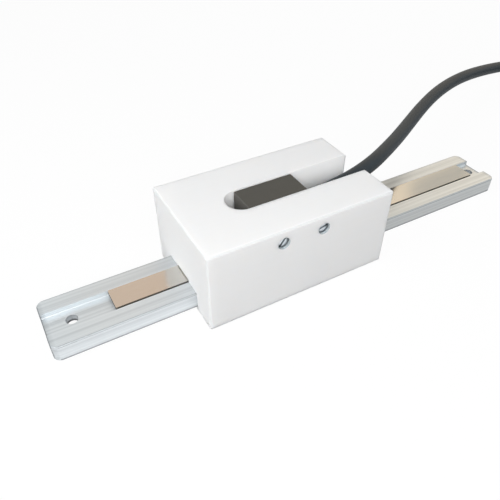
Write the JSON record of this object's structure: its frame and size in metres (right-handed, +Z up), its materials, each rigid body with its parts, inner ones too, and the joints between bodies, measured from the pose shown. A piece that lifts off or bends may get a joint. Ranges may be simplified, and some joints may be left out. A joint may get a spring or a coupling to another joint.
{
  "type": "magnetic linear encoder",
  "caption": "White slotted carriage that slides along an aluminium rail and holds a sensor head over a magnetic tape, with a cable to a round connector.",
  "frame": {"origin": "middle of the rail's underside, on the surface it is screwed to", "axes": "+X along the rail towards the cable end, +Y across the rail away from the set screws, +Z up"},
  "size_m": [0.4418, 0.1199, 0.0354],
  "materials": {
    "rail_aluminium": "extruded, clear anodised, satin",
    "adhesive": "thin acrylic adhesive film",
    "carrier_steel": "thin stainless sheet",
    "magnetic_rubber": "dark magnetised rubber",
    "cover_steel": "thin spring steel strip, semi-gloss, warm tint",
    "carriage_plastic": "white machined engineering plastic",
    "screw_steel": "plain steel",
    "housing_plastic": "dark olive grey, fine matt",
    "board_laminate": "green laminate",
    "chip_plastic": "black moulding compound",
    "capacitor_ceramic": "tan ceramic",
    "core_insulation": "coloured core insulation",
    "potting_resin": "cast black resin",
    "seal_rubber": "black moulded rubber",
    "cable_sheath": "dark slate sheath, satin",
    "tie_nylon": "black nylon strap",
    "shell_plastic": "black moulded plastic",
    "pin_brass": "gold-plated brass",
    "nut_nickel": "nickel-plated brass"
  },
  "bodies": {
    "rail": {"guide_rail": "rail_aluminium", "tape_adhesive": "adhesive", "tape_carrier": "carrier_steel", "magnetic_band": "magnetic_rubber", "cover_adhesive": "adhesive", "cover_strip": "cover_steel"},
    "carriage": {"guide_carriage": "carriage_plastic", "sensor_set_screws": "screw_steel", "sensor_housing": "housing_plastic", "base_plate": "carrier_steel", "circuit_board": "board_laminate", "sensing_chip": "chip_plastic", "interpolator_chip": "chip_plastic", "board_capacitors": "capacitor_ceramic", "cable_cores": "core_insulation", "potting_compound": "potting_resin", "cable_seal": "seal_rubber", "strain_relief": "seal_rubber", "sensor_cable": "cable_sheath", "cable_coil": "cable_sheath", "coil_tie": "tie_nylon", "cable_tail": "cable_sheath", "connector_shell": "shell_plastic", "contact_insert": "shell_plastic", "contact_pins": "pin_brass"},
    "nut": {"coupling_nut": "nut_nickel"}
  },
  "joints": [
    {"name": "carriage_slide", "type": "slide", "parent": "rail", "child": "carriage", "axis": [1, 0, 0], "range_m": [-0.05, 0.07]},
    {"name": "nut_spin", "type": "hinge", "parent": "carriage", "child": "nut", "pos_m": [0.3277, -0.025, 0.0071], "axis": [0, -1, 0], "continuous": true}
  ]
}
